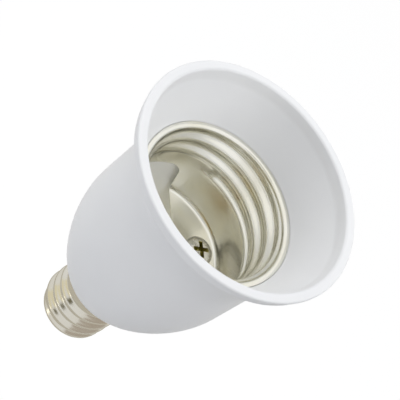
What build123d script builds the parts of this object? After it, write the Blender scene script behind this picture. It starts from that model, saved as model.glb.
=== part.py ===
# Lamp socket adapter: a small screw plug below, a large screw socket in a white bell above.
# Millimetres. Z runs up the axis and out of the socket's mouth.
# Z = 0 is the body's shoulder, where the collar of the plug seats.
# The socket shell's lug lies towards +Y, the foot of the centre contact towards -Y.
import os
from math import sqrt

from build123d import *

os.makedirs("parts", exist_ok=True)

# Plug shell: a stamped cap with a rolled thread, sizes on its outside
plug_crest_radius = 6.94
plug_thread_depth = 0.79
plug_sheet = 0.3
plug_collar = 2.3  # plain length below the shoulder
plug_grooves = 4
plug_flank = 0.7  # axial run of a thread flank
plug_root_land = 0.8
plug_crest_land = 0.62
plug_end_run = 2.1  # axial length of the tapered end
plug_end_inset = 1.4  # how far the tapered end closes in

# Socket shell: a stamped cup with a rolled thread, sizes on its inside
socket_root_radius = 13.25
socket_thread_depth = 1.0
socket_sheet = 0.35
socket_pitch = 3.63
socket_crests = 3
socket_flank = 1.0
socket_crest_land = 0.6
first_crest_drop = 2.5  # flange to the middle of the first crest
flange_width = 1.05
flange_bevel = 0.35  # where the flange turns down into the thread
skirt_relief = 0.35  # skirt outside the thread's crests
skirt_drop = 11.4  # flange to the top of the window in the skirt
lug_drop = 18.4  # flange to the top of the lug
lug_bend = 1.0
lug_edge = 4.0  # axis to the lug's straight edge
window_lean = 1.6  # how far the skirt's edge leans in between the lug and the window's top
window_corner = 3.0

# Body: a moulded bell with a hollow nose
body_height = 44.2  # shoulder to lip
rim_radius = 20.25
lip_width = 1.7
lip_bevel = 0.3
rim_depth = 2.1  # lip to the rim's lower corner
rim_draft = 0.5  # how far the rim's side leans in over its depth
rim_step = 0.45  # overhang of the rim past the flare
cove_depth = 2.0  # steep wall inside the lip
cove_lean = 0.65
mouth_drop = 9.3  # lip to the flange of the socket shell
body_wall = 1.7
nose_start = 3.7  # the nose curves in from this height above the lug
flare_start = 5.4  # the flare curves out from this depth below the flange
shoulder_overhang = 0.26
shoulder_thickness = 2.0
nose_wall = 2.0  # at the break between the nose's two inner cones
neck_wall = 1.75
neck_stand = 0.8  # the neck's end stands out of the plug shell
neck_end_wall = 2.4

# Screws and the posts that take them
screw_inset = 4.3  # skirt to screw
head_radius = 2.8
head_height = 1.7
head_crown = 0.6
shank_radius = 1.25
shank_length = 9.0
recess_width = 0.8
recess_length = 3.2
recess_depth = 1.1
post_margin = 0.6  # post past the screw's head
rib_thickness = 1.6

# Centre contact: a sprung strip
strip_thickness = 0.4
strip_width = 5.0
strip_rise = 2.8
strip_bend = 1.0
pad_length = 3.2  # flat pad on the axis
strip_tip = 0.6  # length and drop of the turned-down tip
strip_tail = 2.9  # screw to the strip's rear end

# Leads and the rivet at the plug's tip
core_radius = 0.4
cover_radius = 0.8
lead_bend = 1.2
lead_spread = 2.2  # axis to each lead inside the neck
rivet_head_radius = 2.5
rivet_head_height = 1.5
rivet_shank_radius = 1.5
rivet_bore_radius = 0.85
rivet_flare_radius = 2.1
rivet_flare_height = 0.5

# Clearances
shell_clearance = 0.2  # socket shell in the body's bore
flange_clearance = 0.1
plug_clearance = 0.1  # plug shell over the neck
screw_clearance = 0.05
rivet_clearance = 0.05
wire_clearance = 0.05

# Heights along the axis
mouth_z = body_height - mouth_drop
ledge_z = mouth_z - socket_sheet
lug_z = mouth_z - lug_drop
window_z = mouth_z - skirt_drop
post_top = lug_z - socket_sheet
plug_pitch = 2 * plug_flank + plug_root_land + plug_crest_land
taper_z = -plug_collar - plug_grooves * plug_pitch + plug_flank + plug_crest_land / 2
plug_end_z = taper_z - plug_end_run
neck_end_z = plug_end_z - neck_stand
neck_floor_z = neck_end_z + neck_end_wall
lead_z = post_top - core_radius - wire_clearance

# Radii that follow from the pieces inside
plug_root_radius = plug_crest_radius - plug_thread_depth
plug_end_radius = plug_root_radius - plug_end_inset
socket_crest_radius = socket_root_radius - socket_thread_depth
skirt_radius = socket_crest_radius + skirt_relief
screw_offset = skirt_radius - screw_inset
bore_radius = socket_root_radius + socket_sheet + shell_clearance
waist_radius = bore_radius + body_wall
seat_radius = socket_root_radius + flange_width + flange_clearance
shoulder_radius = plug_crest_radius + shoulder_overhang
neck_radius = plug_root_radius - plug_sheet - plug_clearance
neck_tip_radius = plug_end_radius - plug_sheet - plug_clearance
lead_bore_radius = neck_radius - neck_wall
post_radius = head_radius + post_margin

# The nose is one arc from the waist to the shoulder; inside it two cones meet halfway up
nose_height = lug_z + nose_start
nose_inset = waist_radius - shoulder_radius
nose_arc = (nose_inset**2 + nose_height**2) / (2 * nose_inset)
break_z = (shoulder_thickness + post_top) / 2
break_radius = waist_radius - nose_arc + sqrt(nose_arc**2 - (nose_height - break_z) ** 2) - nose_wall

# Plug shell
groove_points = []
for groove in range(plug_grooves):
    top_z = -plug_collar - groove * plug_pitch
    root_z = top_z - plug_flank
    groove_points += [(plug_crest_radius, top_z), (plug_root_radius, root_z)]
    groove_points += [(plug_root_radius, root_z - plug_root_land)]
    groove_points += [(plug_crest_radius, root_z - plug_root_land - plug_flank)]
groove_points[-1] = (plug_root_radius, taper_z)

with BuildPart() as plug_shell:
    with BuildSketch(Plane.XZ):
        with BuildLine():
            Polyline((plug_crest_radius, 0), *groove_points, (plug_end_radius, plug_end_z))
            offset(amount=plug_sheet, kind=Kind.INTERSECTION, side=Side.RIGHT)
        make_face()
    revolve(axis=Axis.Z)
plug_shell.part.label = "plug_shell"

# Socket shell
crest_points = []
for crest in range(socket_crests):
    crest_z = mouth_z - first_crest_drop - crest * socket_pitch
    upper_z = crest_z + socket_crest_land / 2
    lower_z = crest_z - socket_crest_land / 2
    crest_points += [(socket_root_radius, upper_z + socket_flank), (socket_crest_radius, upper_z)]
    crest_points += [(socket_crest_radius, lower_z), (socket_root_radius, lower_z - socket_flank)]
skirt_slope = skirt_relief / socket_thread_depth
crest_points[-1] = (skirt_radius, lower_z - socket_flank * skirt_slope)

shell_points = [(socket_root_radius + flange_width, mouth_z), (socket_root_radius + flange_bevel, mouth_z)]
shell_points += [(socket_root_radius, mouth_z - flange_bevel), *crest_points]
shell_points += [(skirt_radius, lug_z), (0, lug_z)]
shell_bends = [0] * (len(shell_points) - 3) + [lug_bend]

with BuildPart() as socket_shell:
    with BuildSketch(Plane.XZ):
        with BuildLine():
            FilletPolyline(*shell_points, radius=shell_bends)
            offset(amount=socket_sheet, kind=Kind.INTERSECTION, side=Side.LEFT)
        make_face()
    revolve(axis=Axis.Z)
    # Half of the skirt and floor is cut away, clear of the live contact
    with BuildSketch(Plane.YZ) as window:
        with BuildLine():
            Polyline(
                (-2 * skirt_radius, window_z),
                (lug_edge - window_lean, window_z),
                (lug_edge + window_lean, 2 * lug_z - window_z),
                (-2 * skirt_radius, 2 * lug_z - window_z),
                close=True,
            )
        make_face()
        fillet(window.vertices().group_by(Axis.Y)[-1].sort_by(Axis.X)[-1], window_corner)
    extrude(amount=2 * skirt_radius, both=True, mode=Mode.SUBTRACT)
    with Locations((0, screw_offset, lug_z)):
        Hole(shank_radius + screw_clearance, depth=2 * socket_sheet)
socket_shell.part.label = "socket_shell"

# Space inside the body: mouth, bore and hollow nose, less the two posts and their ribs
with BuildPart() as hollow:
    with BuildSketch(Plane.XZ):
        with BuildLine():
            Polyline(
                (0, body_height),
                (rim_radius - lip_width, body_height),
                (rim_radius - lip_width - cove_lean, body_height - cove_depth),
                (seat_radius, mouth_z),
                (seat_radius, ledge_z),
                (bore_radius + flange_bevel, ledge_z),
                (bore_radius, ledge_z - flange_bevel),
                (bore_radius, lug_z + nose_start / 2),
                (break_radius, break_z),
                (lead_bore_radius, shoulder_thickness),
                (lead_bore_radius, neck_floor_z),
                (0, neck_floor_z),
                (0, body_height),
            )
        make_face()
    revolve(axis=Axis.Z)
    with BuildSketch(Plane.XY.offset(post_top)):
        with Locations((0, screw_offset), (0, -screw_offset)):
            Circle(post_radius)
        for side in (1, -1):
            with Locations((0, side * (screw_offset + waist_radius) / 2)):
                Rectangle(rib_thickness, waist_radius - screw_offset)
    extrude(amount=-post_top, mode=Mode.SUBTRACT)

# Body
with BuildPart() as body:
    with BuildSketch(Plane.XZ):
        with BuildLine():
            rim_foot_z = body_height - rim_depth
            rim_foot_radius = rim_radius - rim_draft
            flare_end = (rim_foot_radius - rim_step, rim_foot_z - rim_step)
            nose_top = (waist_radius, nose_height)
            flare_foot = (waist_radius, mouth_z - flare_start)
            Polyline(
                (0, neck_end_z),
                (neck_tip_radius, neck_end_z),
                (neck_tip_radius, plug_end_z + plug_sheet),
                (neck_radius, taper_z + plug_sheet),
                (neck_radius, 0),
                (shoulder_radius, 0),
            )
            TangentArc(nose_top, (shoulder_radius, 0), tangent=(0, -1))
            Line(nose_top, flare_foot)
            TangentArc(flare_foot, flare_end, tangent=(0, 1))
            Polyline(
                flare_end,
                (rim_foot_radius, rim_foot_z),
                (rim_radius, body_height),
                (0, body_height),
                (0, neck_end_z),
            )
        make_face()
    revolve(axis=Axis.Z)
    add(hollow.part, mode=Mode.SUBTRACT)
    chamfer(body.edges().filter_by(GeomType.CIRCLE).group_by(Axis.Z)[-1], lip_bevel)
    with Locations((0, screw_offset, post_top), (0, -screw_offset, post_top)):
        Hole(shank_radius + screw_clearance, depth=shank_length + screw_clearance)
    with Locations((0, 0, neck_floor_z)):
        Hole(rivet_shank_radius + rivet_clearance, depth=neck_end_wall)
    # A groove across each post lets a lead's bare end in under the metal
    with BuildSketch(Plane.XY.offset(post_top)):
        with Locations((0, screw_offset - post_radius / 2), (0, post_radius / 2 - screw_offset)):
            Rectangle(2 * (core_radius + wire_clearance), post_radius)
    extrude(amount=-2 * (core_radius + wire_clearance), mode=Mode.SUBTRACT)
    # The lead to the plug shell leaves through the neck's side
    with BuildSketch(Plane.XZ):
        with Locations((0, -plug_collar / 2)):
            Circle(core_radius + wire_clearance)
    extrude(amount=-neck_radius - plug_sheet, mode=Mode.SUBTRACT)
body.part.label = "body"

# Screws
for label, seat_y, seat_z in (
    ("shell_screw", screw_offset, lug_z),
    ("contact_screw", -screw_offset, post_top + strip_thickness),
):
    with BuildPart() as screw:
        with BuildSketch(Plane.XZ):
            with BuildLine():
                head_edge = (head_radius, head_height - head_crown)
                Polyline((0, head_height), (0, -shank_length), (shank_radius, -shank_length))
                Polyline((shank_radius, -shank_length), (shank_radius, 0), (head_radius, 0), head_edge)
                TangentArc((0, head_height), head_edge, tangent=(1, 0))
            make_face()
        revolve(axis=Axis.Z)
        with BuildSketch(Plane.XY.offset(head_height)):
            Rectangle(recess_length, recess_width)
            Rectangle(recess_width, recess_length)
        extrude(amount=-recess_depth, mode=Mode.SUBTRACT)
    seated = screw.part.moved(Location((0, seat_y, seat_z)))
    seated.label = label
    export_step(seated, f"parts/{label}.step")

# Centre contact
with BuildPart() as centre_contact:
    with BuildSketch(Plane.YZ):
        with BuildLine():
            pad_z = post_top + strip_rise
            FilletPolyline(
                (-screw_offset - strip_tail, post_top),
                (post_radius - screw_offset, post_top),
                (-pad_length / 2, pad_z),
                (pad_length / 2, pad_z),
                (pad_length / 2 + strip_tip, pad_z - strip_tip),
                radius=strip_bend,
            )
            offset(amount=strip_thickness, kind=Kind.INTERSECTION, side=Side.LEFT)
        make_face()
    extrude(amount=strip_width / 2, both=True)
    with Locations((0, -screw_offset, post_top + strip_thickness)):
        Hole(shank_radius + screw_clearance, depth=strip_thickness)
centre_contact.part.label = "centre_contact"

# Rivet at the tip of the plug
with BuildPart() as tip_contact:
    with BuildSketch(Plane.XZ):
        with BuildLine():
            head_z = neck_end_z - rivet_head_height
            flare_z = neck_floor_z + rivet_flare_height
            Polyline(
                (0, head_z),
                (0, neck_end_z),
                (rivet_bore_radius, neck_end_z),
                (rivet_bore_radius, flare_z),
                (rivet_flare_radius, flare_z),
                (rivet_flare_radius, neck_floor_z),
                (rivet_shank_radius, neck_floor_z),
                (rivet_shank_radius, neck_end_z),
                (rivet_head_radius, neck_end_z),
            )
            TangentArc((0, head_z), (rivet_head_radius, neck_end_z), tangent=(1, 0))
        make_face()
    revolve(axis=Axis.Z)
tip_contact.part.label = "tip_contact"

# Lead from the contact's foot down the neck to the rivet
with BuildPart() as centre_lead:
    with BuildLine() as centre_route:
        FilletPolyline(
            (0, shank_radius + screw_clearance + core_radius - screw_offset, lead_z),
            (0, -lead_spread, lead_z),
            (0, -lead_spread, -plug_collar),
            (0, 0, -plug_collar - 2 * lead_spread),
            (0, 0, neck_end_z),
            radius=lead_bend,
        )
    with BuildSketch(Plane(origin=centre_route.line @ 0, z_dir=centre_route.line % 0)):
        Circle(core_radius)
    sweep(path=centre_route.line)
    with BuildSketch(Plane.XY.offset(-plug_collar + lead_bend)):
        with Locations((0, -lead_spread)):
            Circle(cover_radius)
    extrude(amount=lead_z - 2 * lead_bend + plug_collar - core_radius)
centre_lead.part.label = "centre_lead"

# Lead from the lug down the neck and out to the plug shell's collar
with BuildPart() as shell_lead:
    with BuildLine() as shell_route:
        FilletPolyline(
            (0, screw_offset - shank_radius - screw_clearance - core_radius, lead_z),
            (0, lead_spread, lead_z),
            (0, lead_spread, -plug_collar / 2),
            (0, plug_crest_radius - plug_sheet - wire_clearance, -plug_collar / 2),
            radius=lead_bend,
        )
    with BuildSketch(Plane(origin=shell_route.line @ 0, z_dir=shell_route.line % 0)):
        Circle(core_radius)
    sweep(path=shell_route.line)
    with BuildSketch(Plane.XY.offset(-plug_collar / 2 + lead_bend)):
        with Locations((0, lead_spread)):
            Circle(cover_radius)
    extrude(amount=lead_z - 2 * lead_bend + plug_collar / 2 - core_radius)
shell_lead.part.label = "shell_lead"

for piece in (body, socket_shell, plug_shell, centre_contact, tip_contact, centre_lead, shell_lead):
    export_step(piece.part, f"parts/{piece.part.label}.step")
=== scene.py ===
from math import atan2, cos, degrees, pi, radians, sin, tan

import bmesh
import bpy
from mathutils import Matrix, Quaternion, Vector


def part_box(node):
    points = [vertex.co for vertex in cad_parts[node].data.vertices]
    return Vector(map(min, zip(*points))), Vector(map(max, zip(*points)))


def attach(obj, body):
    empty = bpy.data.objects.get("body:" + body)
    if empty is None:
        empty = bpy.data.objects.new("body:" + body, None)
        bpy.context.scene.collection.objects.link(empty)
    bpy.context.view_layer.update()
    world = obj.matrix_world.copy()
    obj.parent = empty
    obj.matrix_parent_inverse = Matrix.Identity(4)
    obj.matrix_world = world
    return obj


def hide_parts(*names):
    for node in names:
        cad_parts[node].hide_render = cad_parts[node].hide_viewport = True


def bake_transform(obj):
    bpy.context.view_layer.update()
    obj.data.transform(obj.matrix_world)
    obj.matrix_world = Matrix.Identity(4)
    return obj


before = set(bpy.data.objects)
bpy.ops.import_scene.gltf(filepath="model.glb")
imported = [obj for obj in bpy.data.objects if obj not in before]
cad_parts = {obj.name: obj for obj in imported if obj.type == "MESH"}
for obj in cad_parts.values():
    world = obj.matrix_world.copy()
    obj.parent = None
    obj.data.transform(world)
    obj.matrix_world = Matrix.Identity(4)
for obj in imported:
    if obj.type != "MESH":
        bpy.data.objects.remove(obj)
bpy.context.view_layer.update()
mm = 0.001  # sizes below are in millimetres, angles in degrees


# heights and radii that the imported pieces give

def nodeBox(name):
    low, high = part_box(name)
    return low / mm, high / mm

bodyLow, bodyHigh = nodeBox("body")
shellLow, shellHigh = nodeBox("socket_shell")
plugLow, plugHigh = nodeBox("plug_shell")
tipLow, tipHigh = nodeBox("tip_contact")
stripLow = nodeBox("centre_contact")[0]
screwLow, screwHigh = nodeBox("shell_screw")
lipZ, neckEndZ = bodyHigh.z, bodyLow.z
mouthZ, postTopZ = shellHigh.z, shellLow.z
plugEndZ, plugCrest = plugLow.z, plugHigh.x
flangeRadius = shellHigh.x
screwY = (screwLow.y + screwHigh.y) / 2


# shared modelling steps

mergeWithin = 0.002
slack = 0.01  # heights and radii this close count as equal
cutterSpare = 1  # cutters stand this far out of what they cut
sheetCorner = 60  # edges of a sheet turn by more than this

def ease(value, start, end):  # 0 at start, 1 at end, smooth between
    share = min(1, max(0, (value - start) / (end - start)))
    return share * share * (3 - 2 * share)

def chainOutline(bm, corners, segments=6, closed=False):
    # corners are (radius, height, reach of the rounding) on the XZ plane
    verts = [bm.verts.new((radius * mm, 0, height * mm)) for radius, height, _ in corners]
    for start, end in zip(verts, verts[1:] + (verts[:1] if closed else [])):
        bm.edges.new((start, end))
    for vert, (_, _, reach) in zip(verts, corners):
        if reach:
            bmesh.ops.bevel(bm, geom=[vert], offset=reach * mm, offset_type="ABSOLUTE", segments=segments,
                            profile=0.5, affect="VERTICES", material=-1)
    bmesh.ops.remove_doubles(bm, verts=bm.verts, dist=mergeWithin * mm)

def turnOutline(bm, steps):
    bmesh.ops.spin(bm, geom=bm.verts[:] + bm.edges[:], cent=(0, 0, 0), axis=(0, 0, 1), angle=2 * pi,
                   steps=steps, use_merge=True)
    bmesh.ops.remove_doubles(bm, verts=bm.verts, dist=mergeWithin * mm)
    bmesh.ops.recalc_face_normals(bm, faces=bm.faces)

def cutRows(bm, low, high, rows):  # divides the outline's runs between two heights
    runs = [e for e in bm.edges if all(low <= v.co.z / mm <= high for v in e.verts)]
    bmesh.ops.subdivide_edges(bm, edges=runs, cuts=rows)

def angleOf(vert):
    return degrees(atan2(vert.co.y, vert.co.x))

def moveOut(vert, offset):
    vert.co += Vector((vert.co.x, vert.co.y, 0)).normalized() * offset * mm

def roundEdges(bm, offset, segments=2):
    sharp = [e for e in bm.edges if e.is_manifold and e.calc_face_angle(0) > radians(sheetCorner)]
    bmesh.ops.bevel(bm, geom=sharp, offset=offset * mm, offset_type="OFFSET", segments=segments,
                    profile=0.5, affect="EDGES", material=-1, clamp_overlap=True)

def markSharp(bm, keepSharp):
    for face in bm.faces:
        face.smooth = True
    for edge in bm.edges:
        edge.smooth = edge.calc_face_angle(0) < radians(keepSharp)

def makePiece(name, bm, keepSharp=38):
    markSharp(bm, keepSharp)
    mesh = bpy.data.meshes.new(name)
    bm.to_mesh(mesh)
    bm.free()
    piece = bpy.data.objects.new(name, mesh)
    bpy.context.scene.collection.objects.link(piece)
    return piece

def carve(piece, tool, operation="DIFFERENCE"):
    cut = piece.modifiers.new("cut", "BOOLEAN")
    cut.object = tool
    cut.operation = operation
    cut.solver = "EXACT"
    graph = bpy.context.evaluated_depsgraph_get()
    mesh = bpy.data.meshes.new_from_object(piece.evaluated_get(graph))
    piece.modifiers.clear()
    piece.data = mesh
    bpy.data.objects.remove(tool)

def resharpen(piece, keepSharp=38):
    bm = bmesh.new()
    bm.from_mesh(piece.data)
    markSharp(bm, keepSharp)
    bm.to_mesh(piece.data)
    bm.free()

def rod(name, radius, low, high, at, segments=48):
    bm = bmesh.new()
    bmesh.ops.create_cone(bm, cap_ends=True, segments=segments, radius1=radius * mm, radius2=radius * mm,
                          depth=(high - low) * mm)
    bmesh.ops.translate(bm, verts=bm.verts, vec=Vector((*at, (low + high) / 2)) * mm)
    return makePiece(name, bm)

def block(name, low, high, taper=1):  # taper is the share of its width that the lower end keeps
    bm = bmesh.new()
    bmesh.ops.create_cube(bm, size=1)
    bmesh.ops.scale(bm, verts=[v for v in bm.verts if v.co.z < 0], vec=(taper, taper, 1))
    low, high = Vector(low), Vector(high)
    bmesh.ops.scale(bm, verts=bm.verts, vec=(high - low) * mm)
    bmesh.ops.translate(bm, verts=bm.verts, vec=(low + high) / 2 * mm)
    return makePiece(name, bm)


# effects that several finishes share

def startGroup(name, inputs, outputs):
    group = bpy.data.node_groups.new(name, "ShaderNodeTree")
    for label, kind, value in inputs:
        entry = group.interface.new_socket(label, in_out="INPUT", socket_type="NodeSocket" + kind)
        entry.default_value = value
    for label, kind in outputs:
        group.interface.new_socket(label, in_out="OUTPUT", socket_type="NodeSocket" + kind)
    return group, group.nodes.new("NodeGroupInput"), group.nodes.new("NodeGroupOutput")

def addNode(tree, kind, **settings):
    node = tree.nodes.new("ShaderNode" + kind)
    for key, value in settings.items():
        setattr(node, key, value)
    return node

def addNoise(tree, detail):
    noise = addNode(tree, "TexNoise")
    noise.inputs["Detail"].default_value = detail
    return noise

def addSpread(tree, low, high):  # stretches this middle part of a noise over the whole range
    spread = addNode(tree, "MapRange")
    spread.inputs["From Min"].default_value = low
    spread.inputs["From Max"].default_value = high
    return spread

def makeGrain():  # fine even grain: a value between Low and High
    group, given, made = startGroup(
        "fine grain",
        [("Scale", "Float", 1000.0), ("Low", "Float", 0.3), ("High", "Float", 0.4)],
        [("Value", "Float")])
    link = group.links.new
    place = addNode(group, "TexCoord")
    noise = addNoise(group, detail=3)
    spread = addSpread(group, 0.3, 0.7)
    link(place.outputs["Object"], noise.inputs["Vector"])
    link(given.outputs["Scale"], noise.inputs["Scale"])
    link(noise.outputs["Fac"], spread.inputs["Value"])
    link(given.outputs["Low"], spread.inputs["To Min"])
    link(given.outputs["High"], spread.inputs["To Max"])
    link(spread.outputs["Result"], made.inputs["Value"])
    return group

def makeDrawLines():  # faint lines round the axis, left by drawing and rolling
    group, given, made = startGroup(
        "draw lines",
        [("Along", "Float", 120.0), ("Across", "Float", 4000.0)],
        [("Height", "Float")])
    link = group.links.new
    place = addNode(group, "TexCoord")
    split = addNode(group, "SeparateXYZ")
    join = addNode(group, "CombineXYZ")
    noise = addNoise(group, detail=4)
    noise.inputs["Scale"].default_value = 1
    link(place.outputs["Object"], split.inputs["Vector"])
    for axis, amount in (("X", "Along"), ("Y", "Along"), ("Z", "Across")):
        times = addNode(group, "Math", operation="MULTIPLY")
        link(split.outputs[axis], times.inputs[0])
        link(given.outputs[amount], times.inputs[1])
        link(times.outputs["Value"], join.inputs[axis])
    link(join.outputs["Vector"], noise.inputs["Vector"])
    link(noise.outputs["Fac"], made.inputs["Height"])
    return group

def makeTint():  # a slow drift between two tones
    group, given, made = startGroup(
        "tone drift",
        [("Pale", "Color", (0.8, 0.8, 0.8, 1)), ("Deep", "Color", (0.7, 0.7, 0.7, 1)),
         ("Scale", "Float", 80.0)],
        [("Color", "Color")])
    link = group.links.new
    place = addNode(group, "TexCoord")
    noise = addNoise(group, detail=2)
    spread = addSpread(group, 0.35, 0.65)
    mix = addNode(group, "Mix", data_type="RGBA")
    link(place.outputs["Object"], noise.inputs["Vector"])
    link(given.outputs["Scale"], noise.inputs["Scale"])
    link(noise.outputs["Fac"], spread.inputs["Value"])
    link(spread.outputs["Result"], mix.inputs["Factor"])
    link(given.outputs["Pale"], mix.inputs["A"])
    link(given.outputs["Deep"], mix.inputs["B"])
    link(mix.outputs["Result"], made.inputs["Color"])
    return group

grain, drawLines, tint = makeGrain(), makeDrawLines(), makeTint()


# finishes

def startMaterial(name, metallic=0.0):
    material = bpy.data.materials.new(name)
    material.use_nodes = True
    tree = material.node_tree
    shader = tree.nodes["Principled BSDF"]
    shader.inputs["Metallic"].default_value = metallic
    shader.inputs["IOR"].default_value = 1.5
    return material, tree, shader

def useGroup(tree, group, **values):
    node = tree.nodes.new("ShaderNodeGroup")
    node.node_tree = group
    for key, value in values.items():
        node.inputs[key].default_value = value
    return node

moulding = {
    "pale": (0.855, 0.862, 0.872, 1), "deep": (0.832, 0.84, 0.853, 1), "toneScale": 60,
    "rough": (0.4, 0.46), "grainScale": 2600, "specular": 0.3,
}

def makePlastic():
    material, tree, shader = startMaterial("white moulding")
    low, high = moulding["rough"]
    tone = useGroup(tree, tint, Pale=moulding["pale"], Deep=moulding["deep"], Scale=moulding["toneScale"])
    skin = useGroup(tree, grain, Scale=moulding["grainScale"], Low=low, High=high)
    shader.inputs["Specular IOR Level"].default_value = moulding["specular"]
    tree.links.new(tone.outputs["Color"], shader.inputs["Base Color"])
    tree.links.new(skin.outputs["Value"], shader.inputs["Roughness"])
    return material

plating = {
    "toneScale": 140, "grainScale": 500, "linesAlong": 60, "linesAcross": 2400,
    "bumpStrength": 0.05, "bumpDepth": 0.004,
}

def makePlate(name, pale, deep, low, high):
    material, tree, shader = startMaterial(name, metallic=1.0)
    tone = useGroup(tree, tint, Pale=pale, Deep=deep, Scale=plating["toneScale"])
    skin = useGroup(tree, grain, Scale=plating["grainScale"], Low=low, High=high)
    lines = useGroup(tree, drawLines, Along=plating["linesAlong"], Across=plating["linesAcross"])
    bump = addNode(tree, "Bump")
    bump.inputs["Strength"].default_value = plating["bumpStrength"]
    bump.inputs["Distance"].default_value = plating["bumpDepth"] * mm
    tree.links.new(tone.outputs["Color"], shader.inputs["Base Color"])
    tree.links.new(skin.outputs["Value"], shader.inputs["Roughness"])
    tree.links.new(lines.outputs["Height"], bump.inputs["Height"])
    tree.links.new(bump.outputs["Normal"], shader.inputs["Normal"])
    return material

whiteMoulding = makePlastic()
# each plate has a pale tone, a deep tone, and its least and most roughness
nickelPlate = makePlate("nickel plate", (0.85, 0.84, 0.775, 1), (0.835, 0.815, 0.715, 1), 0.18, 0.23)
# the plug's plate is the nickel plate made darker: painted shade for the darker surroundings that the plug
# reflects
plugShadedPlate = makePlate("plug plate painted shade", (0.63, 0.612, 0.55, 1), (0.605, 0.575, 0.495, 1), 0.18, 0.23)
zincPlate = makePlate("zinc plate", (0.72, 0.71, 0.67, 1), (0.66, 0.64, 0.57, 1), 0.22, 0.34)
# darker, more olive copy of the zinc plate for the faces in the cross recess: painted shade in the recess
recessShadePlate = makePlate("screw recess painted shade", (0.5, 0.46, 0.2, 1), (0.42, 0.38, 0.14, 1), 0.3, 0.4)
springBrass = makePlate("spring brass", (0.83, 0.66, 0.36, 1), (0.76, 0.58, 0.3, 1), 0.22, 0.34)
tipPlate = makePlate("tip plate", (0.75, 0.73, 0.68, 1), (0.68, 0.66, 0.6, 1), 0.28, 0.42)

def dress(piece, material, body, slot, *nodes):
    piece.data.materials.clear()
    piece.data.materials.append(material)
    if body:  # a piece that bends between two bodies rides on neither
        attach(piece, body)
    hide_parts(*nodes)


# moulded bell

bell = {
    "neck": 5.75, "neckRound": 0.2, "neckTip": 4.35, "neckTipRound": 0.3,
    "neckTaper": (plugEndZ + 0.3, plugEndZ + 2.4), "neckFloor": neckEndZ + 2.4, "neckFloorRound": 0.3,
    "rivetHole": 1.55, "leadBore": 4.0, "leadBoreRound": 0.8,
    "shoulder": 7.2, "shoulderRound": 0.12, "shoulderThickness": 2.0,
    "waist": 15.5, "noseTop": postTopZ + 4.05, "flareFoot": mouthZ - 5.4,
    "rim": 20.25, "rimDepth": 2.1, "rimDraft": 0.5, "rimStep": 0.45, "rimRound": 0.35,
    "lipWidth": 1.7, "lipRound": 0.4, "coveDepth": 2.0, "coveLean": 0.5, "coveRound": 0.35,
    "seat": 14.4, "seatRound": 0.15, "sheet": 0.35,
    "bore": 13.8, "boreFoot": postTopZ + 2.2, "boreFootRound": 1.2,
    "noseBreak": (11.26, 9.07), "noseBreakRound": 2.0,
    "post": 3.4, "postSegments": 64, "footY": 4.55, "footZ": 1.45, "footLean": 44.2,
    "rib": 1.6, "ribStart": 2, "ribEnd": 13.6, "ribFoot": 11,
    "screwBore": 1.3, "screwBoreDepth": 9.05, "leadGroove": 0.9, "grooveReach": 0.5,
    "steps": 180, "roundSegments": 14,
}

def arcCorner(foot, end):  # corner of an arc that leaves foot straight up or down and ends at end
    across, along = end[0] - foot[0], end[1] - foot[1]
    reach = (across * across + along * along) / (2 * abs(along))
    return (foot[0], foot[1] + (reach if along > 0 else -reach), reach)

def bellOutline():
    rimFootZ = lipZ - bell["rimDepth"]
    rimFoot = bell["rim"] - bell["rimDraft"]
    flareEnd = (rimFoot - bell["rimStep"], rimFootZ - bell["rimStep"])
    lipInside = bell["rim"] - bell["lipWidth"]
    ledgeZ = mouthZ - bell["sheet"]
    taperLow, taperHigh = bell["neckTaper"]
    return [
        (bell["rivetHole"], neckEndZ, 0),
        (bell["neckTip"], neckEndZ, bell["neckTipRound"]),
        (bell["neckTip"], taperLow, 0),
        (bell["neck"], taperHigh, bell["neckRound"]),
        (bell["neck"], 0, 0),
        (bell["shoulder"], 0, bell["shoulderRound"]),
        arcCorner((bell["waist"], bell["noseTop"]), (bell["shoulder"], 0)),
        arcCorner((bell["waist"], bell["flareFoot"]), flareEnd),
        (*flareEnd, 0),
        (rimFoot, rimFootZ, bell["rimRound"]),
        (bell["rim"], lipZ, bell["lipRound"]),
        (lipInside, lipZ, bell["lipRound"]),
        (lipInside - bell["coveLean"], lipZ - bell["coveDepth"], bell["coveRound"]),
        (bell["seat"], mouthZ, bell["seatRound"]),
        (bell["seat"], ledgeZ, 0),
        (bell["bore"] + bell["sheet"], ledgeZ, 0),
        (bell["bore"], ledgeZ - bell["sheet"], 0),
        (bell["bore"], bell["boreFoot"], bell["boreFootRound"]),
        (*bell["noseBreak"], bell["noseBreakRound"]),
        (bell["leadBore"], bell["shoulderThickness"], bell["leadBoreRound"]),
        (bell["leadBore"], bell["neckFloor"], bell["neckFloorRound"]),
        (bell["rivetHole"], bell["neckFloor"], 0),
    ]

def makePost(side):  # ends on a slant inside the nose's wall
    bm = bmesh.new()
    bmesh.ops.create_cone(bm, cap_ends=True, segments=bell["postSegments"], radius1=bell["post"] * mm,
                          radius2=bell["post"] * mm, depth=postTopZ * mm)
    bmesh.ops.translate(bm, verts=bm.verts, vec=Vector((0, side * screwY, postTopZ / 2)) * mm)
    lean = radians(bell["footLean"])
    slant = bmesh.ops.bisect_plane(bm, geom=bm.verts[:] + bm.edges[:] + bm.faces[:], clear_inner=True,
                                   plane_co=Vector((0, side * bell["footY"], bell["footZ"])) * mm,
                                   plane_no=(0, -side * sin(lean), cos(lean)))
    rim = [e for e in slant["geom_cut"] if isinstance(e, bmesh.types.BMEdge)]
    bmesh.ops.edgeloop_fill(bm, edges=rim)
    bmesh.ops.recalc_face_normals(bm, faces=bm.faces)
    return makePiece("post", bm)

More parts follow.
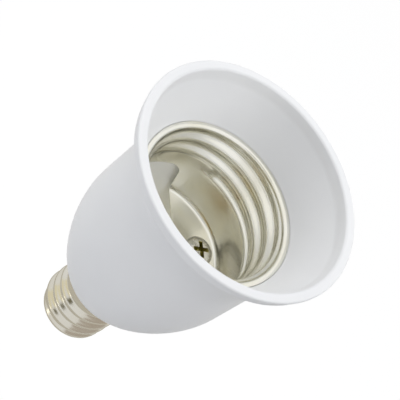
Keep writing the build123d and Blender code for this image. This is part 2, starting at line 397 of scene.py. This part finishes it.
def makeBell():
    bm = bmesh.new()
    chainOutline(bm, bellOutline(), segments=bell["roundSegments"], closed=True)
    turnOutline(bm, bell["steps"])
    piece = makePiece("moulded_bell", bm)
    halfRib, groove = bell["rib"] / 2, bell["leadGroove"]
    # two posts for the screws, each tied to the wall by a rib and grooved for its lead
    for side in (1, -1):
        carve(piece, makePost(side), "UNION")
        near, far = sorted((side * (screwY + bell["ribStart"]), side * bell["ribEnd"]))
        carve(piece, block("rib", (-halfRib, near, bell["ribFoot"]), (halfRib, far, postTopZ)), "UNION")
        carve(piece, rod("bore", bell["screwBore"], postTopZ - bell["screwBoreDepth"], postTopZ + cutterSpare,
                         (0, side * screwY)))
        near, far = sorted((side * screwY, side * (screwY - bell["post"] - bell["grooveReach"])))
        carve(piece, block("groove", (-groove / 2, near, postTopZ - groove),
                           (groove / 2, far, postTopZ + cutterSpare)))
    resharpen(piece)
    dress(piece, whiteMoulding, "adapter", "white_moulding", "body")
    print("moulded bell:", len(piece.data.polygons), "faces")

makeBell()


# rolled threads

def grooveShare(angle, height, thread):
    # 1 in the middle of the rolled groove, 0 on the ridge between its turns
    turn = (height - thread["grooveZ"]) / thread["pitch"] - (angle - thread["atAngle"]) / 360
    return (0.5 + 0.5 * cos(2 * pi * turn)) ** thread["sharpness"]


# socket shell

socket = {
    "root": 13.25, "ridge": 12.25, "skirt": 12.6, "sheet": 0.35, "flangeBend": 0.6,
    "thread": {"pitch": 3.63, "grooveZ": mouthZ - 1.7, "atAngle": 128, "sharpness": 1.0},
    "threadTop": (mouthZ - 0.6, mouthZ - 1.6), "skirtTop": mouthZ - 10.7, "skirtEase": 0.9,
    "plainFrom": 141, "plainEase": 18, "plainSpan": 200, "plainTurn": 1.5, "plainSlope": 1.2,
    "lug": mouthZ - 18.4, "lugBend": 1.0, "lugEdge": 4.0, "screwHole": 1.3,
    "windowTop": mouthZ - 11.4, "windowLean": 1.6, "windowCorner": 3.0, "cornerSteps": 8,
    "cutMargin": 1, "cutTouch": 0.001, "cutMerge": 0.03,
    "edgeRound": 0.09, "steps": 180, "rows": 70, "roundSegments": 8,
}

def socketRadius(angle, height):  # of the rolled sheet
    thread, root, ridge, skirt = socket["thread"], socket["root"], socket["ridge"], socket["skirt"]
    groove = grooveShare(angle, height, thread)
    # over the window the lowest turn is left unrolled
    past = (angle - socket["plainFrom"]) % 360
    plainEnd = socket["plainSpan"] + socket["plainEase"]
    plain = ease(past, 0, socket["plainEase"]) * (1 - ease(past, socket["plainSpan"], plainEnd))
    turns = (socket["plainFrom"] + past - thread["atAngle"]) / 360 - socket["plainTurn"]
    ridgeZ = thread["grooveZ"] + thread["pitch"] * turns
    if height < ridgeZ:
        groove *= 1 - plain
        ridge += (skirt - ridge) * ease(ridgeZ - height, 0, socket["plainSlope"]) * plain
    radius = ridge + (root - ridge) * groove
    skirtEnd = socket["skirtTop"] + socket["skirtEase"]
    radius += (skirt - radius) * (1 - ease(height, socket["skirtTop"], skirtEnd))
    radius += (root - radius) * (1 - ease(height, *socket["threadTop"]))
    return radius

def cutWindow(bm):  # half of the skirt and floor goes, along a leaning edge with a rounded corner
    edge, lug, top, corner = socket["lugEdge"], socket["lug"], socket["windowTop"], socket["windowCorner"]
    lean = atan2(socket["windowLean"], top - lug)
    cornerZ = top - corner
    cornerY = edge - (cornerZ - lug) * tan(lean) - corner / cos(lean)
    planes = [(edge, lug, cos(lean), sin(lean)), (edge, top, 0, 1)]
    straight = len(planes)
    for step in range(1, socket["cornerSteps"]):
        turn = lean + (pi / 2 - lean) * step / socket["cornerSteps"]
        planes.append((cornerY + corner * cos(turn), cornerZ + corner * sin(turn), cos(turn), sin(turn)))
    for number, (y, z, ny, nz) in enumerate(planes):
        near = [f for f in bm.faces if f.calc_center_median().z / mm < top + socket["cutMargin"]]
        if number >= straight:
            near = [f for f in near if abs(f.calc_center_median().y / mm - cornerY - corner / 2) < corner
                    and f.calc_center_median().z / mm > cornerZ - socket["cutMargin"]]
        geom = {x for f in near for x in [f, *f.edges, *f.verts]}
        bmesh.ops.bisect_plane(bm, geom=list(geom), dist=socket["cutTouch"] * mm,
                               plane_co=Vector((0, y, z)) * mm, plane_no=(0, ny, nz))
    gone = []
    for face in bm.faces:
        middle = face.calc_center_median() / mm
        if all((middle.y - y) * ny + (middle.z - z) * nz < 0 for y, z, ny, nz in planes):
            gone.append(face)
    bmesh.ops.delete(bm, geom=gone, context="FACES")
    bmesh.ops.remove_doubles(bm, verts=bm.verts, dist=socket["cutMerge"] * mm)
    bmesh.ops.dissolve_degenerate(bm, edges=bm.edges, dist=slack * mm)

def makeSocketShell():
    root = socket["root"]
    bm = bmesh.new()
    chainOutline(bm, [
        (flangeRadius, mouthZ, 0),
        (root, mouthZ, socket["flangeBend"]),
        (root, socket["skirtTop"], 0),
        (root, socket["lug"], socket["lugBend"]),
        (0, socket["lug"], 0),
    ], segments=socket["roundSegments"])
    cutRows(bm, socket["skirtTop"] - slack, mouthZ - socket["flangeBend"] + slack, socket["rows"])
    turnOutline(bm, socket["steps"])
    for vert in bm.verts:
        height, radius = vert.co.z / mm, Vector(vert.co.xy).length / mm
        if height > socket["threadTop"][0] or radius < slack:
            continue
        if height < socket["skirtTop"] + slack:  # skirt, bend and floor
            moveOut(vert, (socket["skirt"] - root) * min(1, radius / root))
        else:
            moveOut(vert, socketRadius(angleOf(vert) % 360, height) - radius)
    cutWindow(bm)
    bmesh.ops.recalc_face_normals(bm, faces=bm.faces)
    if sum(f.normal.z * f.calc_area() for f in bm.faces) < 0:
        bmesh.ops.reverse_faces(bm, faces=bm.faces)
    bmesh.ops.solidify(bm, geom=bm.faces[:], thickness=socket["sheet"] * mm)
    roundEdges(bm, socket["edgeRound"])
    piece = makePiece("socket_shell_rolled", bm)
    carve(piece, rod("hole", socket["screwHole"], socket["lug"] - socket["sheet"] - cutterSpare,
                     socket["lug"] + cutterSpare, (0, screwY)))
    resharpen(piece)
    dress(piece, nickelPlate, "adapter", "plated_shell", "socket_shell")
    print("socket shell:", len(piece.data.polygons), "faces")

makeSocketShell()


# plug shell

plug = {
    "sheet": 0.3, "topGap": 0.02, "taperTop": plugEndZ + 1.97, "endRadius": 4.75, "endRound": 0.7,
    "thread": {"pitch": 2.82, "grooveZ": -3.45, "atAngle": -63, "sharpness": 1.0}, "depth": 0.79,
    "threadTop": (-1.3, -2.7), "threadEnd": 0.5, "edgeRound": 0.07,
    "steps": 144, "rows": 90, "rowsFrom": 0.42,  # rows start this far above the taper
}

def makePlugShell():
    bm = bmesh.new()
    chainOutline(bm, [
        (plugCrest, -plug["topGap"], 0),
        (plugCrest, plug["taperTop"], plug["endRound"]),
        (plug["endRadius"], plugEndZ, 0),
    ])
    cutRows(bm, plug["taperTop"] + plug["rowsFrom"], 0, plug["rows"])
    turnOutline(bm, plug["steps"])
    for vert in bm.verts:
        height = vert.co.z / mm
        share = ease(height, *plug["threadTop"])
        share *= ease(height, plugEndZ, plug["taperTop"] + plug["threadEnd"])
        moveOut(vert, -plug["depth"] * grooveShare(angleOf(vert), height, plug["thread"]) * share)
    if sum(f.normal.dot(Vector((*f.calc_center_median().xy, 0))) for f in bm.faces) < 0:
        bmesh.ops.reverse_faces(bm, faces=bm.faces)
    bmesh.ops.solidify(bm, geom=bm.faces[:], thickness=plug["sheet"] * mm)
    roundEdges(bm, plug["edgeRound"])
    piece = makePiece("plug_shell_rolled", bm)
    # the plug shell wears the darkened plate: painted shade
    dress(piece, plugShadedPlate, "adapter", "plated_shell", "plug_shell")
    print("plug shell:", len(piece.data.polygons), "faces")

makePlugShell()


# cross-head screws

screw = {
    "head": 2.8, "headHeight": 1.7, "crown": 0.6, "crownShare": 0.82, "crownRound": 0.55,
    "edgeDrop": 0.2, "edgeRound": 0.25, "footRound": 0.15,
    "shank": 1.25, "length": 9.0, "point": 0.8, "pointShare": 0.45, "pointRound": 0.2,
    "thread": {"pitch": 1.1, "grooveZ": 0, "atAngle": 0, "sharpness": 1.2}, "depth": 0.3,
    "threadTop": (-0.3, -1), "threadCore": 0.5, "plainNeck": 0.1,
    "recessLength": 3.2, "recessWidth": 0.8, "recessDepth": 1.15, "recessTaper": 0.55, "recessSpare": 0.1,
    "steps": 64, "rows": 60, "keepSharp": 30,
}

def screwOutline():
    head, shank, top = screw["head"], screw["shank"], screw["headHeight"]
    return [
        (0, top, 0),
        (head * screw["crownShare"], top, head * screw["crownRound"]),
        (head, top - screw["crown"] - screw["edgeDrop"], screw["edgeRound"]),
        (head, 0, screw["footRound"]),
        (shank, 0, 0),
        (shank, -screw["length"] + screw["point"], 0),
        (shank * screw["pointShare"], -screw["length"], screw["pointRound"]),
        (0, -screw["length"], 0),
    ]

def cutRecess(piece, seatZ, y):
    length, width, spare = screw["recessLength"], screw["recessWidth"], screw["recessSpare"]
    top = seatZ + screw["headHeight"] + spare
    floorZ = top - screw["recessDepth"] - spare
    for across, along in ((length, width), (width, length)):
        carve(piece, block("recess", (-across / 2, y - along / 2, floorZ), (across / 2, y + along / 2, top),
                           screw["recessTaper"]))
    resharpen(piece, screw["keepSharp"])
    inside = []
    for face in piece.data.polygons:
        across, along = sorted((abs(face.center.x / mm), abs(face.center.y / mm - y)))
        if across < width / 2 + slack and along < length / 2 + slack and face.center.z / mm > floorZ - spare:
            inside.append(face.index)
    return inside

def makeScrew(name, node, seatZ, y):
    bm = bmesh.new()
    chainOutline(bm, screwOutline())
    cutRows(bm, -screw["length"] + screw["point"] - slack, slack, screw["rows"])
    turnOutline(bm, screw["steps"])
    for vert in bm.verts:
        height, radius = vert.co.z / mm, Vector(vert.co.xy).length / mm
        if height < -screw["plainNeck"] and radius > screw["threadCore"] * screw["shank"]:
            share = grooveShare(angleOf(vert), height, screw["thread"]) * ease(height, *screw["threadTop"])
            moveOut(vert, -screw["depth"] * share)
    bmesh.ops.translate(bm, verts=bm.verts, vec=Vector((0, y, seatZ)) * mm)
    piece = makePiece(name, bm)
    shadedRecessFaces = cutRecess(piece, seatZ, y)
    dress(piece, zincPlate, "adapter", "zinc_screw", node)
    # faces inside the cross recess take the darker recess material: painted shade
    piece.data.materials.append(recessShadePlate)
    for index in shadedRecessFaces:
        piece.data.polygons[index].material_index = 1
    print(name + ":", len(piece.data.polygons), "faces")

for name, node in (("lug_screw", "shell_screw"), ("foot_screw", "contact_screw")):
    low, high = nodeBox(node)
    makeScrew(name, node, low.z + screw["length"], (low.y + high.y) / 2)


# sprung centre contact

contact = {
    "width": 5.0, "thickness": 0.4, "footEnd": -4.9, "bend": 0.75,
    "padStart": -1.6, "padEnd": 1.6, "padZ": postTopZ + 2.8, "tip": 0.6, "tipBend": 0.4,
    "cornerRound": 1.6, "screwHole": 1.3, "edgeRound": 0.08, "rows": 4, "roundSegments": 6,
    "flexFrom": -6.0, "flexTo": -3.8,
}

def makeContact():
    across = Vector((contact["width"], 0, 0)) * mm
    bm = bmesh.new()
    chainOutline(bm, [
        (stripLow.y, postTopZ, 0),
        (contact["footEnd"], postTopZ, contact["bend"]),
        (contact["padStart"], contact["padZ"], contact["bend"]),
        (contact["padEnd"], contact["padZ"], contact["tipBend"]),
        (contact["padEnd"] + contact["tip"], contact["padZ"] - contact["tip"], 0),
    ], segments=contact["roundSegments"])
    bmesh.ops.subdivide_edges(bm, edges=bm.edges, cuts=contact["rows"])
    bmesh.ops.rotate(bm, verts=bm.verts, cent=(0, 0, 0), matrix=Matrix.Rotation(pi / 2, 3, "Z"))
    bmesh.ops.translate(bm, verts=bm.verts, vec=-across / 2)
    swept = bmesh.ops.extrude_edge_only(bm, edges=bm.edges)["geom"]
    bmesh.ops.translate(bm, verts=[v for v in swept if isinstance(v, bmesh.types.BMVert)], vec=across)
    ends = [v for v in bm.verts if len(v.link_edges) == 2]
    bmesh.ops.bevel(bm, geom=ends, offset=contact["cornerRound"] * mm, offset_type="ABSOLUTE",
                    segments=contact["roundSegments"], profile=0.5, affect="VERTICES", material=-1)
    bmesh.ops.recalc_face_normals(bm, faces=bm.faces)
    if sum(f.normal.z * f.calc_area() for f in bm.faces) > 0:
        bmesh.ops.reverse_faces(bm, faces=bm.faces)
    bmesh.ops.solidify(bm, geom=bm.faces[:], thickness=contact["thickness"] * mm)
    roundEdges(bm, contact["edgeRound"])
    piece = makePiece("contact_strip", bm)
    carve(piece, rod("hole", contact["screwHole"], postTopZ - cutterSpare,
                     postTopZ + contact["thickness"] + cutterSpare, (0, -screwY)))
    resharpen(piece)
    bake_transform(piece)
    dress(piece, springBrass, None, "spring_brass", "centre_contact")
    print("centre contact:", len(piece.data.polygons), "faces")

makeContact()


# rivet at the plug's tip

rivet = {
    "head": 2.5, "headRound": 0.2, "crown": 1.6, "crownShare": 0.75, "shank": 1.5,
    "bore": 0.85, "boreMouthRound": 0.3, "boreFloorRound": 0.2,
    "flare": 2.1, "flareHeight": 0.5, "flareFootRound": 0.1, "flareRound": 0.2, "steps": 72,
}

def makeTip():
    flareZ = tipHigh.z
    floorZ = flareZ - rivet["flareHeight"]
    bm = bmesh.new()
    chainOutline(bm, [
        (0, tipLow.z, 0),
        (rivet["head"] * rivet["crownShare"], tipLow.z, rivet["crown"]),
        (rivet["head"], neckEndZ, rivet["headRound"]),
        (rivet["shank"], neckEndZ, 0),
        (rivet["shank"], floorZ, 0),
        (rivet["flare"], floorZ, rivet["flareFootRound"]),
        (rivet["flare"], flareZ, rivet["flareRound"]),
        (rivet["bore"], flareZ, rivet["boreMouthRound"]),
        (rivet["bore"], neckEndZ, rivet["boreFloorRound"]),
        (0, neckEndZ, 0),
    ])
    turnOutline(bm, rivet["steps"])
    piece = makePiece("tip_rivet", bm)
    dress(piece, tipPlate, "adapter", "plated_tip", "tip_contact")
    print("tip rivet:", len(piece.data.polygons), "faces")

makeTip()


# leads stay as modelled, with their own finish: covered between two heights, bare copper at both ends

leads = {
    "centre_lead": {"label": "brown lead", "slot": "brown_lead", "colour": (0.19, 0.075, 0.03, 1),
                    "low": -3.0, "high": 15.2},
    "shell_lead": {"label": "blue lead", "slot": "blue_lead", "colour": (0.03, 0.1, 0.36, 1),
                   "low": -1.6, "high": 15.2},
}
leadFinish = {
    "copper": (0.72, 0.35, 0.2, 1), "deepShare": 0.8, "toneScale": 400,
    "rough": (0.35, 0.5), "grainScale": 3000,
}

def makeLead(lead):
    material, tree, shader = startMaterial(lead["label"])
    deep = tuple(c * leadFinish["deepShare"] for c in lead["colour"][:3]) + (1,)
    place = addNode(tree, "TexCoord")
    split = addNode(tree, "SeparateXYZ")
    above = addNode(tree, "Math", operation="GREATER_THAN")
    below = addNode(tree, "Math", operation="LESS_THAN")
    covered = addNode(tree, "Math", operation="MULTIPLY")
    bare = addNode(tree, "Math", operation="SUBTRACT")
    mix = addNode(tree, "Mix", data_type="RGBA")
    tone = useGroup(tree, tint, Pale=lead["colour"], Deep=deep, Scale=leadFinish["toneScale"])
    low, high = leadFinish["rough"]
    skin = useGroup(tree, grain, Scale=leadFinish["grainScale"], Low=low, High=high)
    above.inputs[1].default_value = lead["low"] * mm
    below.inputs[1].default_value = lead["high"] * mm
    bare.inputs[0].default_value = 1
    mix.inputs["A"].default_value = leadFinish["copper"]
    link = tree.links.new
    link(place.outputs["Object"], split.inputs["Vector"])
    link(split.outputs["Z"], above.inputs[0])
    link(split.outputs["Z"], below.inputs[0])
    link(above.outputs["Value"], covered.inputs[0])
    link(below.outputs["Value"], covered.inputs[1])
    link(covered.outputs["Value"], mix.inputs["Factor"])
    link(tone.outputs["Color"], mix.inputs["B"])
    link(mix.outputs["Result"], shader.inputs["Base Color"])
    link(covered.outputs["Value"], bare.inputs[1])
    link(bare.outputs["Value"], shader.inputs["Metallic"])
    link(skin.outputs["Value"], shader.inputs["Roughness"])
    return material

for node, lead in leads.items():
    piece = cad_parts[node]
    piece.data.materials.clear()
    piece.data.materials.append(makeLead(lead))
print("leads dressed")


# studio

studio = {
    "floorZ": -220, "floorSize": 8000, "floorSegments": 64, "floorColour": (0.83, 0.855, 0.91, 1),
    "floorRough": 0.9, "floorShare": 0.04, "white": 1.02, "sky": (0.95, 0.98, 1.08, 1), "skyLevel": 0.08,
}

def whiteToCamera(tree, output, shader, level):  # seen directly or in a reflection it is plain white
    link = tree.links.new
    path = addNode(tree, "LightPath")
    white = addNode(tree, "Emission" if output == "Material" else "Background")
    white.inputs["Color"].default_value = (1, 1, 1, 1)
    white.inputs["Strength"].default_value = studio["white"]
    seen = path.outputs["Is Camera Ray"]
    for ray in ("Is Glossy Ray", "Is Transmission Ray"):
        either = addNode(tree, "Math", operation="MAXIMUM")
        link(seen, either.inputs[0])
        link(path.outputs[ray], either.inputs[1])
        seen = either.outputs["Value"]
    share = addNode(tree, "Math", operation="MULTIPLY")
    share.inputs[1].default_value = level
    mix = addNode(tree, "MixShader")
    link(seen, share.inputs[0])
    link(share.outputs["Value"], mix.inputs["Fac"])
    link(shader, mix.inputs[1])
    link(white.outputs[0], mix.inputs[2])
    link(mix.outputs["Shader"], tree.nodes[output + " Output"].inputs["Surface"])

def makeFloor():
    bm = bmesh.new()
    bmesh.ops.create_circle(bm, cap_ends=True, segments=studio["floorSegments"],
                            radius=studio["floorSize"] / 2 * mm)
    bmesh.ops.translate(bm, verts=bm.verts, vec=(0, 0, studio["floorZ"] * mm))
    floor = makePiece("floor", bm)
    material, tree, shader = startMaterial("floor")
    shader.inputs["Base Color"].default_value = studio["floorColour"]
    shader.inputs["Roughness"].default_value = studio["floorRough"]
    whiteToCamera(tree, "Material", shader.outputs["BSDF"], 1 - studio["floorShare"])
    material.cycles.emission_sampling = "NONE"
    floor.data.materials.append(material)

def makeSky():
    world = bpy.data.worlds.new("studio")
    bpy.context.scene.world = world
    world.use_nodes = True
    sky = world.node_tree.nodes["Background"]
    sky.inputs["Color"].default_value = studio["sky"]
    sky.inputs["Strength"].default_value = studio["skyLevel"]
    whiteToCamera(world.node_tree, "World", sky.outputs["Background"], 1)

makeFloor()
makeSky()

def direction(turn, rise):  # turn goes round +Z from +X, rise is above the level
    turn, rise = radians(turn), radians(rise)
    return Vector((cos(rise) * cos(turn), cos(rise) * sin(turn), sin(rise)))

# cards that only the metal's reflections see
cards = {
    "table": {"at": (0, 0, -85), "size": (420, 420), "turn": 0, "rise": 90, "colour": (0.68, 0.65, 0.58, 1)},
    "shade": {"at": (141, 51, 10), "size": (210, 100), "turn": -160, "rise": 0,
              "colour": (0.58, 0.52, 0.46, 1)},
    "warm": {"at": (-39, -145, 5), "size": (130, 70), "turn": 75, "rise": 0, "colour": (1.0, 0.93, 0.68, 1)},
    "gap": {"at": (80, -102, 103), "size": (190, 28), "turn": 128, "rise": -35,
            "colour": (0.65, 0.63, 0.58, 1)},
    "lid": {"at": (55.8, -54.8, 139.8), "size": (90, 44), "turn": 135, "rise": -53,
            "colour": (0.45, 0.45, 0.43, 1)},
    "slot": {"at": (15.3, -44.7, 14), "size": (13, 18), "turn": 108, "rise": -20,
             "colour": (0.14, 0.12, 0.05, 1)},
    "spark": {"at": (30.9, -253, -66), "size": (46, 46), "turn": 97, "rise": 13,
              "colour": (1, 0.97, 0.88, 1), "level": 3},
}

def makeCard(name, at, size, turn, rise, colour, level=1):
    bm = bmesh.new()
    bmesh.ops.create_grid(bm, x_segments=1, y_segments=1, size=mm / 2)  # sides of 1 mm
    bmesh.ops.scale(bm, verts=bm.verts, vec=(*size, 1))
    facing = direction(turn, rise).to_track_quat("Z", "Y").to_matrix()
    bmesh.ops.rotate(bm, verts=bm.verts, cent=(0, 0, 0), matrix=facing)
    bmesh.ops.translate(bm, verts=bm.verts, vec=Vector(at) * mm)
    card = makePiece("card_" + name, bm)
    material = bpy.data.materials.new("card " + name)
    material.use_nodes = True
    tree = material.node_tree
    shine = addNode(tree, "Emission")
    shine.inputs["Color"].default_value = colour
    shine.inputs["Strength"].default_value = level
    material.cycles.emission_sampling = "NONE"
    tree.links.new(shine.outputs["Emission"], tree.nodes["Material Output"].inputs["Surface"])
    card.data.materials.append(material)
    card.visible_camera = card.visible_diffuse = card.visible_shadow = card.visible_transmission = False

for name, card in cards.items():
    makeCard(name, **card)

aimAt = Vector((-1.31, -1.47, 32.24)) * mm
lampAway = 500
lamps = {
    "back": {"turn": 160, "rise": 58, "size": 350, "power": 1.38},
    "left": {"turn": -150, "rise": 25, "size": 300, "power": 0.83},
    "right": {"turn": 62, "rise": 32, "size": 250, "power": 0.72},
    "across": {"turn": 5, "rise": 45, "size": 250, "power": 0.86},
    "front": {"turn": -90, "rise": -4, "size": 150, "power": 0.66},
    "camera": {"turn": -60, "rise": 20, "size": 250, "power": 0.36},
}
# light that the white wall lets through into the hollow
glow = {"at": (0, -1, 8), "radius": 3, "power": 0.0017, "colour": (1.0, 0.96, 0.68)}

def addLamp(name, kind, power, at):
    lamp = bpy.data.objects.new(name, bpy.data.lights.new(name, kind))
    lamp.data.energy = power
    lamp.location = at
    lamp.visible_glossy = lamp.visible_camera = False
    bpy.context.scene.collection.objects.link(lamp)
    return lamp

def aim(thing, towards, roll=0):  # a lamp or camera looks along its own -Z
    thing.rotation_mode = "QUATERNION"
    thing.rotation_quaternion = towards.to_track_quat("Z", "Y") @ Quaternion((0, 0, 1), radians(roll))

for name, values in lamps.items():
    towards = direction(values["turn"], values["rise"])
    lamp = addLamp(name, "AREA", values["power"], aimAt + towards * lampAway * mm)
    lamp.data.size = values["size"] * mm
    aim(lamp, towards)

glowLamp = addLamp("glow", "POINT", glow["power"], Vector(glow["at"]) * mm)
glowLamp.data.shadow_soft_size = glow["radius"] * mm
glowLamp.data.color = glow["colour"]

view = {"turn": -52, "rise": 45.87, "away": 158.56, "roll": 53.78, "lens": 90, "sensor": 36,
        "clipStart": 1, "clipEnd": 50000}
camera = bpy.data.objects.new("camera", bpy.data.cameras.new("camera"))
camera.data.lens = view["lens"]
camera.data.sensor_width = view["sensor"]
camera.data.clip_start = view["clipStart"] * mm
camera.data.clip_end = view["clipEnd"] * mm
camera.location = aimAt + direction(view["turn"], view["rise"]) * view["away"] * mm
aim(camera, direction(view["turn"], view["rise"]), view["roll"])
bpy.context.scene.collection.objects.link(camera)
bpy.context.scene.camera = camera
bpy.context.scene.view_settings.view_transform = "Standard"
print("studio ready")
